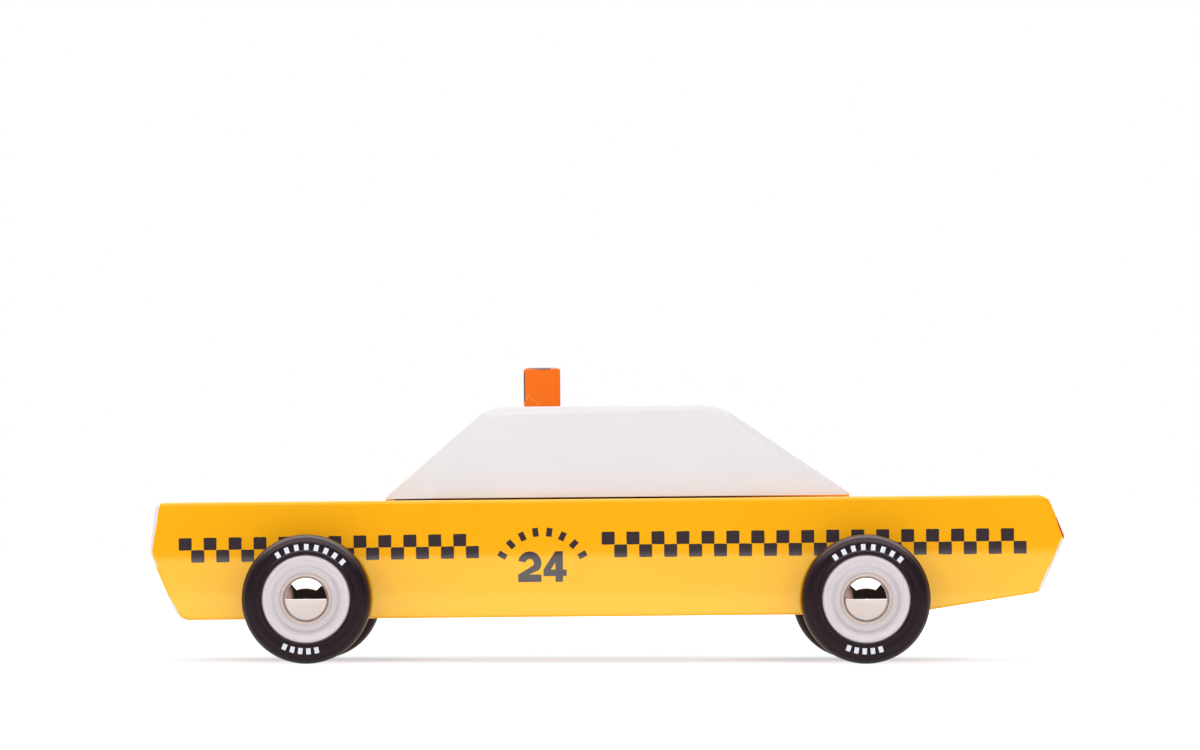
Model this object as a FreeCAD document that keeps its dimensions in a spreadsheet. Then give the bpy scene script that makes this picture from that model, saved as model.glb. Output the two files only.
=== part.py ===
import FreeCAD, Part
import os
import Sketcher

# A wooden toy taxi on four rubber-tyred wheels, 183 mm long.
# X runs from the nose (negative) to the tail, Y across the car, Z up from the floor.
# The nose points to -X, so the car's left side is at -Y. The origin is on the floor under the middle.

# Driving sizes in millimetres, with the one angle in degrees. Setbacks are measured from the nose
# tip or the tail tip, and drops from the deck.
SIZES = {
    # Stance: the block leans nose down a little, because its axle holes are drilled at two heights
    "nose_down": 0.515,
    "ride_height": 9.35,
    "front_overhang": 31.505,
    "rear_overhang": 40.065,
    # Body block
    "body_length": 182.77,
    "body_width": 56.0,
    "body_height": 23.5,
    "nose_tip_drop": 10.25,
    "nose_top_setback": 1.35,
    "nose_bottom_setback": 5.75,
    "tail_tip_drop": 8.45,
    "tail_top_setback": 3.4,
    "tail_bottom_setback": 4.9,
    "tail_rise": 4.1,
    "tail_rise_length": 31.8,
    "nose_top_rounding": 1.8,
    "nose_bottom_rounding": 3.2,
    "tail_rounding": 1.7,
    "body_edge_bevel": 0.7,
    # Cabin block, glued on the deck
    "cabin_setback": 46.085,
    "cabin_length": 95.03,
    "cabin_width": 50.0,
    "cabin_height": 18.6,
    "windscreen_run": 21.95,
    "rear_window_run": 27.03,
    "windscreen_rounding": 7.3,
    "rear_window_rounding": 12.0,
    "cabin_edge_bevel": 0.7,
    "cabin_base_easing": 0.2,
    "facet_length": 10.0,
    "facet_depth": 9.0,
    # Roof sign, set back from the top of the windscreen
    "sign_setback": 6.78,
    "sign_length": 7.4,
    "sign_width": 19.0,
    "sign_height": 8.15,
    "sign_easing": 0.35,
    # Axles, and the caps on their ends
    "axle_radius": 1.5,
    "axle_fit": 0.02,
    "running_clearance": 0.06,
    "end_play": 0.3,
    "cap_grip": 1.6,
    "cap_radius": 4.35,
    "cap_height": 2.4,
    # Hubs: a drum with a flat rim ring and a raised centre disc, recessed for the cap
    "boss_radius": 3.4,
    "hub_radius": 8.8,
    "rim_setback": 0.2,
    "disc_radius": 7.0,
    "disc_rise": 0.4,
    "recess_radius": 5.15,
    "recess_depth": 0.8,
    # Tyres: rubber rings on the hub drums
    "tyre_radius": 12.85,
    "tyre_width": 8.2,
    "tyre_gap": 1.2,
    "tyre_fit": 0.02,
    "shoulder": 1.4,
}

# The cap's dome is turned in this many straight cuts
DOME_CUTS = 2
# Edges are picked out by place, to this many millimetres
SAME_PLACE = 0.001

doc = FreeCAD.newDocument("wooden_taxi")
sheet = doc.addObject("Spreadsheet::Sheet", "Sizes")
for row, (size_name, value) in enumerate(SIZES.items(), start=1):
    sheet.set("A%d" % row, size_name)
    sheet.set("B%d" % row, str(value))
    sheet.setAlias("B%d" % row, size_name)
doc.recompute()

# Places that more than one piece needs, as formulas on the sheet. The wooden pieces are drawn level,
# as if the car didn't lean, with the middle of the block's length at X = 0.
MIDDLE = "0"
BASE = "0"
NOSE_TIP = "(-Sizes.body_length / 2)"
TAIL_TIP = "(Sizes.body_length / 2)"
DECK = "(Sizes.ride_height + Sizes.body_height)"
FRONT_AXLE = "(%s + Sizes.front_overhang)" % NOSE_TIP
REAR_AXLE = "(%s - Sizes.rear_overhang)" % TAIL_TIP
CABIN_FRONT = "(%s + Sizes.cabin_setback)" % NOSE_TIP
CABIN_REAR = "(%s + Sizes.cabin_length)" % CABIN_FRONT
ROOF_FRONT = "(%s + Sizes.windscreen_run)" % CABIN_FRONT
ROOF_REAR = "(%s - Sizes.rear_window_run)" % CABIN_REAR
HALF_BODY = "(Sizes.body_width / 2)"
HALF_CABIN = "(Sizes.cabin_width / 2)"

# Distances from the middle of the car out to the faces of a wheel
TYRE_INNER = "(%s + Sizes.tyre_gap)" % HALF_BODY
TYRE_OUTER = "(%s + Sizes.tyre_width)" % TYRE_INNER
RIM_FACE = "(%s - Sizes.rim_setback)" % TYRE_OUTER
DISC_FACE = "(%s + Sizes.disc_rise)" % RIM_FACE
RECESS_FLOOR = "(%s - Sizes.recess_depth)" % DISC_FACE
CAP_INNER = "(%s + Sizes.end_play)" % RECESS_FLOOR
AXLE_END = "(%s + Sizes.cap_grip)" % CAP_INNER


def worth(formula):
    """The number that a formula on the sheet gives."""
    return float(sheet.evalExpression(formula))


def own_plane(body, role):
    """One of a body's own origin planes."""
    for feature in body.Origin.OriginFeatures:
        if feature.Role == role:
            return feature


def sketch_on(body, name, role):
    """An empty sketch on one of the body's own origin planes."""
    sketch = body.newObject("Sketcher::SketchObject", name)
    sketch.AttachmentSupport = [(own_plane(body, role), "")]
    sketch.MapMode = "FlatFace"
    return sketch


def hold(sketch, kind, geometry, point, formula):
    """Hold one point of a sketch at a distance from the sketch's origin, as a formula."""
    origin = (-1, 1)
    constraint = sketch.addConstraint(
        Sketcher.Constraint(kind, *origin, geometry, point, worth(formula)))
    sketch.setExpression("Constraints[%d]" % constraint, formula)


def outline(sketch, corners):
    """A closed outline of straight sides through corners, each a pair of formulas."""
    points = [FreeCAD.Vector(worth(across), worth(up), 0) for across, up in corners]
    count = len(points)
    for side, start in enumerate(points):
        sketch.addGeometry(Part.LineSegment(start, points[(side + 1) % count]))
    for side in range(count):
        sketch.addConstraint(Sketcher.Constraint("Coincident", side, 2, (side + 1) % count, 1))
    for side, (across, up) in enumerate(corners):
        hold(sketch, "DistanceX", side, 1, across)
        hold(sketch, "DistanceY", side, 1, up)


def new_body(name):
    body = doc.addObject("PartDesign::Body", name)
    body.Label = name
    return body


def pad_both_ways(body, sketch, length):
    """A sketch pushed out by the same length each side of its plane."""
    pad = body.newObject("PartDesign::Pad", "Pad")
    pad.Profile = sketch
    pad.SideType = "Symmetric"
    pad.setExpression("Length", length)
    doc.recompute()
    return pad


def ease_edges(body, kind, size, wanted):
    """Round (Fillet) or bevel (Chamfer) the edges of the last feature that wanted(edge) picks."""
    base = body.Tip
    names = ["Edge%d" % (i + 1) for i, edge in enumerate(base.Shape.Edges) if wanted(edge)]
    easing = body.newObject("PartDesign::%s" % kind, "Eased")
    easing.Base = (base, names)
    easing.setExpression("Radius" if kind == "Fillet" else "Size", size)
    doc.recompute()
    return easing


def across_at(across_x, height):
    """Picks the edge that runs straight across the car at one place of the side outline."""
    place_x = worth(across_x)
    place_z = worth(height)

    def wanted(edge):
        return all(abs(vertex.X - place_x) < SAME_PLACE and abs(vertex.Z - place_z) < SAME_PLACE
                   for vertex in edge.Vertexes)
    return wanted


def on_sides(half_width, lowest=None):
    """Picks the edges that lie in the two flat side faces, those above a height if one is given."""
    side = worth(half_width)

    def wanted(edge):
        box = edge.BoundBox
        flat = abs(box.YMax - box.YMin) < SAME_PLACE and abs(abs(box.YMax) - side) < SAME_PLACE
        return flat and (lowest is None or box.ZMax > lowest)
    return wanted


def in_base(edge):
    """Picks the edges round the underside of a piece that is drawn standing on its base."""
    return edge.BoundBox.ZMax < SAME_PLACE


def lean(body, height):
    """Place a level-drawn wooden piece, whose base is at a height, on the car as it leans.
    The lean turns everything about the line across the car at axle height, over X = 0."""
    body.Placement = FreeCAD.Placement(
        FreeCAD.Vector(), FreeCAD.Rotation(FreeCAD.Vector(0, -1, 0), worth("Sizes.nose_down")))
    above_axles = "(%s - Sizes.tyre_radius)" % height
    body.setExpression("Placement.Base.x", "-%s * sin(Sizes.nose_down)" % above_axles)
    body.setExpression(
        "Placement.Base.z", "Sizes.tyre_radius + %s * cos(Sizes.nose_down)" % above_axles)
    body.setExpression("Placement.Rotation.Angle", "Sizes.nose_down")
    doc.recompute()


def turned(name, corners):
    """A piece turned about the axle line, from an outline of radius and distance from the middle."""
    body = new_body(name)
    sketch = sketch_on(body, "Section", "XY_Plane")
    outline(sketch, corners)
    revolution = body.newObject("PartDesign::Revolution", "Turned")
    revolution.Profile = sketch
    revolution.ReferenceAxis = (sketch, ["V_Axis"])
    doc.recompute()
    return body


def put_on_axle(body, axle, side):
    """Put a wheel piece on its axle. Pieces are drawn on the right side, +Y, and turned for -Y."""
    half_turn = 180 if side == "left" else 0
    body.Placement = FreeCAD.Placement(
        FreeCAD.Vector(), FreeCAD.Rotation(FreeCAD.Vector(0, 0, 1), half_turn))
    body.setExpression("Placement.Base.x", axle)
    body.setExpression("Placement.Base.z", "Sizes.tyre_radius")


def make_body_block():
    """The long block: a plank on edge with a beaked nose, a pointed tail and two drilled axle holes."""
    body = new_body("body_block")
    nose_bottom = ("%s + Sizes.nose_bottom_setback" % NOSE_TIP, "Sizes.ride_height")
    tail_bottom = ("%s - Sizes.tail_bottom_setback" % TAIL_TIP, "Sizes.ride_height + Sizes.tail_rise")
    tail_top = ("%s - Sizes.tail_top_setback" % TAIL_TIP, DECK)
    nose_top = ("%s + Sizes.nose_top_setback" % NOSE_TIP, DECK)
    nose_tip = (NOSE_TIP, "%s - Sizes.nose_tip_drop" % DECK)
    side = sketch_on(body, "SideOutline", "XZ_Plane")
    outline(side, [
        nose_bottom,
        ("%s - Sizes.tail_rise_length" % TAIL_TIP, "Sizes.ride_height"),
        tail_bottom,
        (TAIL_TIP, "%s - Sizes.tail_tip_drop" % DECK),
        tail_top,
        nose_top,
        nose_tip,
    ])
    pad_both_ways(body, side, "Sizes.body_width")
    for corner, radius in (
            (nose_bottom, "Sizes.nose_bottom_rounding"), (nose_top, "Sizes.nose_top_rounding"),
            (tail_top, "Sizes.tail_rounding"), (tail_bottom, "Sizes.tail_rounding")):
        ease_edges(body, "Fillet", radius, across_at(*corner))
    ease_edges(body, "Chamfer", "Sizes.body_edge_bevel", on_sides(HALF_BODY))

    holes = sketch_on(body, "AxleHoles", "XZ_Plane")
    for axle in (FRONT_AXLE, REAR_AXLE):
        along = "%s * cos(Sizes.nose_down)" % axle
        above = "Sizes.tyre_radius - %s * sin(Sizes.nose_down)" % axle
        radius = "Sizes.axle_radius + Sizes.axle_fit"
        centre = FreeCAD.Vector(worth(along), worth(above), 0)
        hole = holes.addGeometry(Part.Circle(centre, FreeCAD.Vector(0, 0, 1), worth(radius)))
        hold(holes, "DistanceX", hole, 3, along)
        hold(holes, "DistanceY", hole, 3, above)
        size = holes.addConstraint(Sketcher.Constraint("Radius", hole, worth(radius)))
        holes.setExpression("Constraints[%d]" % size, radius)
    drilled = body.newObject("PartDesign::Pocket", "Drilled")
    drilled.Profile = holes
    drilled.SideType = "Symmetric"
    drilled.Type = "ThroughAll"
    lean(body, BASE)
    return body


def make_cabin_block():
    """The cabin: a solid block with sloping screens, a rounded roof and two tapering front facets."""
    body = new_body("cabin_block")
    roof_rear = (ROOF_REAR, "Sizes.cabin_height")
    roof_front = (ROOF_FRONT, "Sizes.cabin_height")
    side = sketch_on(body, "SideOutline", "XZ_Plane")
    outline(side, [(CABIN_FRONT, BASE), (CABIN_REAR, BASE), roof_rear, roof_front])
    pad_both_ways(body, side, "Sizes.cabin_width")
    ease_edges(body, "Fillet", "Sizes.windscreen_rounding", across_at(*roof_front))
    ease_edges(body, "Fillet", "Sizes.rear_window_rounding", across_at(*roof_rear))
    ease_edges(body, "Chamfer", "Sizes.cabin_edge_bevel", on_sides(HALF_CABIN, SAME_PLACE))

    # Each front corner is cut by a plane that starts across the corner at the base and runs out
    # to nothing at the roof. The cutting triangle is three times the corner, along the same line.
    outer_x = "%s - Sizes.facet_length" % CABIN_FRONT
    outer_y = "-%s - Sizes.facet_depth" % HALF_CABIN
    facet = sketch_on(body, "FacetLine", "XY_Plane")
    outline(facet, [
        (outer_x, outer_y),
        ("%s + 3 * Sizes.facet_length" % outer_x, outer_y),
        (outer_x, "%s + 3 * Sizes.facet_depth" % outer_y),
    ])
    cut = body.newObject("PartDesign::Pocket", "Facet")
    cut.Profile = facet
    cut.UseCustomVector = True
    cut.Direction = FreeCAD.Vector(0, 0, 1)
    cut.setExpression("Direction.x", "Sizes.windscreen_run - Sizes.facet_length")
    cut.setExpression("Direction.z", "Sizes.cabin_height")
    cut.setExpression("Length", "2 * Sizes.cabin_height")
    doc.recompute()
    both = body.newObject("PartDesign::Mirrored", "BothFacets")
    both.Originals = [cut]
    both.MirrorPlane = (own_plane(body, "XZ_Plane"), [""])
    body.Tip = both
    doc.recompute()
    ease_edges(body, "Chamfer", "Sizes.cabin_base_easing", in_base)
    lean(body, DECK)
    return body


def make_roof_sign():
    """The plain sign block across the roof."""
    body = new_body("roof_sign")
    front = "%s + Sizes.sign_setback" % ROOF_FRONT
    back = "%s + Sizes.sign_length" % front
    side = sketch_on(body, "SideOutline", "XZ_Plane")
    outline(side, [(front, BASE), (back, BASE), (back, "Sizes.sign_height"),
                   (front, "Sizes.sign_height")])
    pad_both_ways(body, side, "Sizes.sign_width")
    ease_edges(body, "Chamfer", "Sizes.sign_easing", lambda edge: not in_base(edge))
    lean(body, "%s + Sizes.cabin_height" % DECK)
    return body


def make_axle(name, axle):
    """A steel pin through the block, with both ends inside the caps."""
    pin = doc.addObject("Part::Cylinder", name)
    pin.Label = name
    pin.setExpression("Radius", "Sizes.axle_radius")
    pin.setExpression("Height", "2 * %s" % AXLE_END)
    pin.Placement = FreeCAD.Placement(
        FreeCAD.Vector(), FreeCAD.Rotation(FreeCAD.Vector(1, 0, 0), -90))
    pin.setExpression("Placement.Base.x", axle)
    pin.setExpression("Placement.Base.y", "-%s" % AXLE_END)
    pin.setExpression("Placement.Base.z", "Sizes.tyre_radius")
    doc.recompute()
    return pin


def make_hub(name, axle, side):
    """The hub: a boss that keeps it off the block, a drum for the tyre, and the dished outer face."""
    bore = "Sizes.axle_radius + Sizes.running_clearance"
    boss_face = "%s + Sizes.end_play" % HALF_BODY
    body = turned(name, [
        (bore, boss_face),
        ("Sizes.boss_radius", boss_face),
        ("Sizes.boss_radius", TYRE_INNER),
        ("Sizes.hub_radius", TYRE_INNER),
        ("Sizes.hub_radius", RIM_FACE),
        ("Sizes.disc_radius", RIM_FACE),
        ("Sizes.disc_radius", DISC_FACE),
        ("Sizes.recess_radius", DISC_FACE),
        ("Sizes.recess_radius", RECESS_FLOOR),
        (bore, RECESS_FLOOR),
    ])
    put_on_axle(body, axle, side)
    return body


def make_tyre(name, axle, side):
    """The plain rubber tyre on the hub's drum, its outer shoulder bevelled."""
    seat = "Sizes.hub_radius + Sizes.tyre_fit"
    body = turned(name, [
        (seat, TYRE_INNER),
        ("Sizes.tyre_radius", TYRE_INNER),
        ("Sizes.tyre_radius", "%s - Sizes.shoulder" % TYRE_OUTER),
        ("Sizes.tyre_radius - Sizes.shoulder", TYRE_OUTER),
        (seat, TYRE_OUTER),
    ])
    put_on_axle(body, axle, side)
    return body


def make_cap(name, axle, side):
    """The domed steel cap pressed on the end of the axle, which keeps the wheel on.
    It is part of a ball whose radius follows from the cap's own radius and height."""
    grip = "Sizes.axle_radius + Sizes.axle_fit"
    crown = "(%s + Sizes.cap_height)" % CAP_INNER
    ball = "((Sizes.cap_radius^2 + Sizes.cap_height^2) / (2 * Sizes.cap_height))"
    spread = "asin(Sizes.cap_radius / %s)" % ball
    dome = []
    for cut in range(DOME_CUTS):
        angle = "(%s * %d / %d)" % (spread, DOME_CUTS - cut, DOME_CUTS)
        dome.append(("%s * sin(%s)" % (ball, angle),
                     "%s - %s * (1 - cos(%s))" % (crown, ball, angle)))
    body = turned(name, [(grip, CAP_INNER), *dome, (MIDDLE, crown), (MIDDLE, AXLE_END),
                         (grip, AXLE_END)])
    put_on_axle(body, axle, side)
    return body


pieces = [make_body_block(), make_cabin_block(), make_roof_sign()]
for end, axle in (("front", FRONT_AXLE), ("rear", REAR_AXLE)):
    pieces.append(make_axle("axle_%s" % end, axle))
    for side in ("left", "right"):
        for kind, make in (("hub", make_hub), ("tyre", make_tyre), ("cap", make_cap)):
            pieces.append(make("%s_%s_%s" % (kind, end, side), axle, side))
doc.recompute()

for thing in doc.Objects:
    if {"Invalid", "Error"} & set(thing.State):
        raise RuntimeError("%s did not build: %s" % (thing.Name, thing.State))
for piece in pieces:
    if piece.Shape.isNull() or not piece.Shape.isValid():
        raise RuntimeError("%s has no sound shape" % piece.Label)

os.makedirs("parts", exist_ok=True)
for piece in pieces:
    piece.Shape.exportStep("parts/%s.step" % piece.Label)
    box = piece.Shape.optimalBoundingBox()
    print("%-18s volume %9.1f  X %7.2f %7.2f  Y %7.2f %7.2f  Z %6.2f %6.2f" % (
        piece.Label, piece.Shape.Volume, box.XMin, box.XMax, box.YMin, box.YMax,
        box.ZMin, box.ZMax))
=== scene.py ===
import math

import bmesh
import bpy
import numpy as np
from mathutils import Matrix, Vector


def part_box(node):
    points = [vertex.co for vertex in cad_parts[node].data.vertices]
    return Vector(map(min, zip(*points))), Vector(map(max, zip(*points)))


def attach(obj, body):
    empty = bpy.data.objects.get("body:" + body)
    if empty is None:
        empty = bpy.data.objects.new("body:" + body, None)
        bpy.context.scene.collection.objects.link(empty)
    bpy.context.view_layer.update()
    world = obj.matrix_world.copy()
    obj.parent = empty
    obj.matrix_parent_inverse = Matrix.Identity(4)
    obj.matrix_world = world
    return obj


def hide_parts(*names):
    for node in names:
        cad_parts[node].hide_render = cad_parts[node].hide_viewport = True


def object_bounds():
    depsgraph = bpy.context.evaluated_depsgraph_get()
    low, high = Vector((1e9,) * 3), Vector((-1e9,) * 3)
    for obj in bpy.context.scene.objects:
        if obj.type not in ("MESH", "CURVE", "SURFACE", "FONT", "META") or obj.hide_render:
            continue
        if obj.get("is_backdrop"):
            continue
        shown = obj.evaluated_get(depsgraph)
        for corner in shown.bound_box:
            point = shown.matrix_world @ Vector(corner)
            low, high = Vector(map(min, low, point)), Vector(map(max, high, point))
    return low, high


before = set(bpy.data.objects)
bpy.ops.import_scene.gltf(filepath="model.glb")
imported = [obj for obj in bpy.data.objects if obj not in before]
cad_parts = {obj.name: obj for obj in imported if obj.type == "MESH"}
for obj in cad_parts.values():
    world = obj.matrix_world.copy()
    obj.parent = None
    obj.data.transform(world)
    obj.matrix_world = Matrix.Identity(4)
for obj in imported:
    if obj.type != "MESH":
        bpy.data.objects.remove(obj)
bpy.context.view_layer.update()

# Camera: a long lens, low down and square to the car's left side. It looks up a little, so that
# the horizon falls below the middle of the picture.
MM = 0.001
SENSOR_WIDTH, FOCAL_LENGTH, NEAREST = 36, 213.6, 0.05
CAMERA_PLACE, CAMERA_PITCH = (-1.53 * MM, -1450 * MM, 22.6 * MM), 1.408

scene = bpy.context.scene
camera_data = bpy.data.cameras.new("camera")
camera_data.sensor_width, camera_data.lens = SENSOR_WIDTH, FOCAL_LENGTH
camera_data.clip_start = NEAREST
camera = bpy.data.objects.new("camera", camera_data)
camera.location = CAMERA_PLACE
camera.rotation_euler = (math.radians(90 + CAMERA_PITCH), 0, 0)
scene.collection.objects.link(camera)
scene.camera = camera
scene.view_settings.view_transform = "Standard"


# Studio: a floor of white paper before a white background, softboxes overhead and fills round the
# car, and black flags that only reflections see, as the bright caps show them.
def linear(hex_colour):
    """An sRGB hex colour as linear red, green, blue and 1: each part above 0.04045 is
    ((part + 0.055) / 1.055) to the power 2.4, and a smaller one is a 12.92th of itself."""
    parts = np.array([int(hex_colour[i:i + 2], 16) / 255 for i in (1, 3, 5)])
    parts = np.where(parts > 0.04045, ((parts + 0.055) / 1.055) ** 2.4, parts / 12.92)
    return (*parts.tolist(), 1.0)


def add(tree, kind, inputs=None, **settings):
    """One more node in a tree, with its settings. Each input is set to a value, or linked to an
    output, which is the first one where a node is given."""
    made = tree.nodes.new(kind)
    for name, value in settings.items():
        setattr(made, name, value)
    for name, value in (inputs or {}).items():
        if isinstance(value, bpy.types.Node):
            value = value.outputs[0]
        if isinstance(value, bpy.types.NodeSocket):
            tree.links.new(value, made.inputs[name])
        else:
            made.inputs[name].default_value = value
    return made


def new_material(name):
    """A new material and its tree, which has no node yet."""
    material = bpy.data.materials.new(name)
    material.use_nodes = True
    material.node_tree.nodes.clear()
    return material, material.node_tree


def shown(material, surface):
    """Links a surface to a material's output, and gives the material back."""
    add(material.node_tree, "ShaderNodeOutputMaterial", {"Surface": surface})
    return material


def stand_up(name, points, quads):
    """A stage object from corner points and faces."""
    mesh = bpy.data.meshes.new(name)
    mesh.from_pydata(points, [], quads)
    thing = bpy.data.objects.new(name, mesh)
    scene.collection.objects.link(thing)
    thing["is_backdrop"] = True
    return thing


FLOOR_REACH = 40.0
# What the paper reflects and what it glows with, to the car and to the camera
PAPER = ((0.68, 0.68, 0.68, 1), (0.26, 0.21, 0.15, 1))
GLOW = ((0.32, 0.32, 0.32, 1), (0.82, 0.875, 0.925, 1))
MORE_GLOW = 0.13
FAR_GLOW, FAR_START, FAR_END = 0.95, 0.3, 1.25
# The glow fades in pairs of patches, one each way along the car from a point under it. Each pair:
# how far off the patches lie, their reach along the car, and the share of the glow that they keep.
FADE_MIDDLE, FADE_ACROSS = (-4.3 * MM, 22 * MM), 50 * MM
FADES = ((0, 90 * MM, 0.78), (55.6 * MM, 30 * MM, 0.76))
FADE_START, FADE_END = 0.3, 1.15

floor = stand_up("studio_floor", [(x * FLOOR_REACH, y * FLOOR_REACH, 0) for x, y in (
    (-1, -1), (1, -1), (1, 1), (-1, 1))], [(0, 1, 2, 3)])
material, tree = new_material("white_sweep_paper")
rays = add(tree, "ShaderNodeLightPath")
place = add(tree, "ShaderNodeTexCoord")
away = add(tree, "ShaderNodeVectorMath", {0: place.outputs["Object"]}, operation="LENGTH")
away = add(tree, "ShaderNodeMapRange", {
    "Value": away.outputs["Value"], "From Min": FAR_START, "From Max": FAR_END})
# To the camera the paper glows, so that it clips to white and keeps a soft grey shadow. Its glow and
# its colour there are balanced against the yellow light that the car throws on it. To the car it
# is paper with a weaker glow, brighter far off, where the flat sides reflect it.
lit = add(tree, "ShaderNodeValToRGB", {"Fac": rays.outputs["Is Camera Ray"]})
glow = add(tree, "ShaderNodeValToRGB", {"Fac": rays.outputs["Is Camera Ray"]})
for to in (0, 1):
    lit.color_ramp.elements[to].color = PAPER[to]
    glow.color_ramp.elements[to].color = GLOW[to]
more = add(tree, "ShaderNodeMath", {0: rays.outputs["Is Diffuse Ray"], 1: MORE_GLOW},
           operation="MULTIPLY")
glow = add(tree, "ShaderNodeVectorMath", {0: glow, 1: more})
# The glow stands in for light from all round the room, so it fades under the car, and once more
# between the wheels of each axle.
around = add(tree, "ShaderNodeVectorMath", {
    0: place.outputs["Object"], 1: (-FADE_MIDDLE[0], -FADE_MIDDLE[1], 0)})
around = add(tree, "ShaderNodeVectorMath", {0: around}, operation="ABSOLUTE")
for middle, reach, share in FADES:
    near = add(tree, "ShaderNodeVectorMath", {0: around, 1: (-middle, 0, 0)})
    near = add(tree, "ShaderNodeVectorMath", {
        0: near, 1: (1 / reach, 1 / FADE_ACROSS, 0)}, operation="MULTIPLY")
    near = add(tree, "ShaderNodeVectorMath", {0: near}, operation="LENGTH")
    near = add(tree, "ShaderNodeMapRange", {
        "Value": near.outputs["Value"], "From Min": FADE_START, "From Max": FADE_END,
        "To Min": share}, interpolation_type="SMOOTHSTEP")
    glow = add(tree, "ShaderNodeVectorMath", {0: glow, 1: near}, operation="MULTIPLY")
far = add(tree, "ShaderNodeMath", {0: away, 1: FAR_GLOW}, operation="MULTIPLY")
glow = add(tree, "ShaderNodeVectorMath", {0: glow, 1: far})
glow = add(tree, "ShaderNodeEmission", {"Color": glow})
paper = add(tree, "ShaderNodeBsdfDiffuse", {"Color": lit})
both = add(tree, "ShaderNodeAddShader", {0: paper, 1: glow})
floor.data.materials.append(shown(material, both))

# The flags are one dome of black cloth, open behind the car where the white background stands. It
# starts just over the horizon and leans as the horizon's reflection does in the flat sides. Its left
# end is paler, like the room there.
FLAG_RADIUS, FLAG_COLUMNS, FLAG_ROWS = 2.6, 72, 30
FLAG_LOWEST, FLAG_HIGHEST, FLAG_TILT = np.radians([0.44, 89.9, -0.52])
WINDOW_HALF_WIDTH, WINDOW_TOP = np.radians([92, 80])
BLACK_CLOTH, PALE_END = 0.016, 0.45
turn_at = np.linspace(-math.pi, math.pi, FLAG_COLUMNS + 1)
rise_at = np.linspace(FLAG_LOWEST, FLAG_HIGHEST, FLAG_ROWS + 1)
turn, rise = np.meshgrid(turn_at, rise_at)
dome = np.stack([np.sin(turn) * np.cos(rise), np.cos(turn) * np.cos(rise), np.sin(rise)], -1)
row, column = np.meshgrid(np.arange(FLAG_ROWS), np.arange(FLAG_COLUMNS), indexing="ij")
hung = ~((np.abs(turn_at[column] + turn_at[column + 1]) / 2 < WINDOW_HALF_WIDTH)
         & (rise_at[row] < WINDOW_TOP))
corner = (row * (FLAG_COLUMNS + 1) + column)[hung]
flags = stand_up("black_flags", (dome * FLAG_RADIUS).reshape(-1, 3),
                 corner[:, None] + (0, 1, FLAG_COLUMNS + 2, FLAG_COLUMNS + 1))
flags.rotation_euler = (0, FLAG_TILT, 0)
for ray in ("camera", "diffuse", "transmission", "volume_scatter", "shadow"):
    setattr(flags, "visible_" + ray, False)
material, tree = new_material("black_flag_cloth")
place = add(tree, "ShaderNodeTexCoord")
place = add(tree, "ShaderNodeSeparateXYZ", {0: place.outputs["Object"]})
left = add(tree, "ShaderNodeMapRange", {
    "Value": place.outputs["X"], "From Min": -0.72 * FLAG_RADIUS, "From Max": -0.97 * FLAG_RADIUS,
    "To Min": BLACK_CLOTH, "To Max": PALE_END}, interpolation_type="SMOOTHSTEP")
cloth = add(tree, "ShaderNodeEmission", {"Color": linear("#FFDCC8"), "Strength": left})
flags.data.materials.append(shown(material, cloth))


def soft_lamp(name, place, width, depth, radiance, unseen):
    """A rectangular softbox that faces the middle of the car. A lamp of this kind shines with the
    same radiance all over: its energy over pi times its area. Neither the camera nor the rays named
    as unseen meet it."""
    back = np.array(place) / np.linalg.norm(place)
    data = bpy.data.lights.new(name, "AREA")
    data.shape = "RECTANGLE"
    data.size, data.size_y = width, depth
    data.energy = radiance * math.pi * width * depth
    thing = bpy.data.objects.new(name, data)
    thing.location = place
    thing.rotation_euler = (-math.asin(back[1]), math.atan2(back[0], back[2]), 0)
    for rays in ("camera", unseen):
        setattr(thing, "visible_" + rays, False)
    scene.collection.objects.link(thing)


# Overhead, the reflections show a broad softbox with a dimmer strip along its front edge, and the
# light itself comes from its bright middle. The fills stand in for the white room round the car,
# which the reflections don't show.
soft_lamp("overhead_softbox", (0, -0.06, 1.13), 2.3, 1.9, 3.0, "diffuse")
soft_lamp("softbox_edge", (0, -1.1, 1.09), 2.3, 0.17, 1.0, "diffuse")
soft_lamp("overhead_middle", (0, -0.1, 1.2), 0.9, 0.6, 1.0, "glossy")
soft_lamp("front_fill", (0, -2.0, 1.15), 9.0, 1.5, 1.87, "glossy")
soft_lamp("nose_fill", (-1.8, -0.9, 1.0), 1.0, 1.0, 1.5, "glossy")
soft_lamp("back_fill", (0, 2.0, 1.15), 9.0, 1.5, 1.3, "glossy")

# The world is white where it is seen or mirrored, and lights the car only a little.
WORLD_LIGHT = 0.2
world = bpy.data.worlds.new("studio")
world.use_nodes = True
tree = world.node_tree
tree.nodes.clear()
rays = add(tree, "ShaderNodeLightPath")
seen = add(tree, "ShaderNodeMath", {
    0: rays.outputs["Is Camera Ray"], 1: rays.outputs["Is Glossy Ray"]}, operation="MAXIMUM")
level = add(tree, "ShaderNodeMapRange", {"Value": seen, "To Min": WORLD_LIGHT})
sky = add(tree, "ShaderNodeBackground", {"Color": (1, 1, 1, 1), "Strength": level})
add(tree, "ShaderNodeOutputWorld", {"Surface": sky})
scene.world = world


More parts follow.
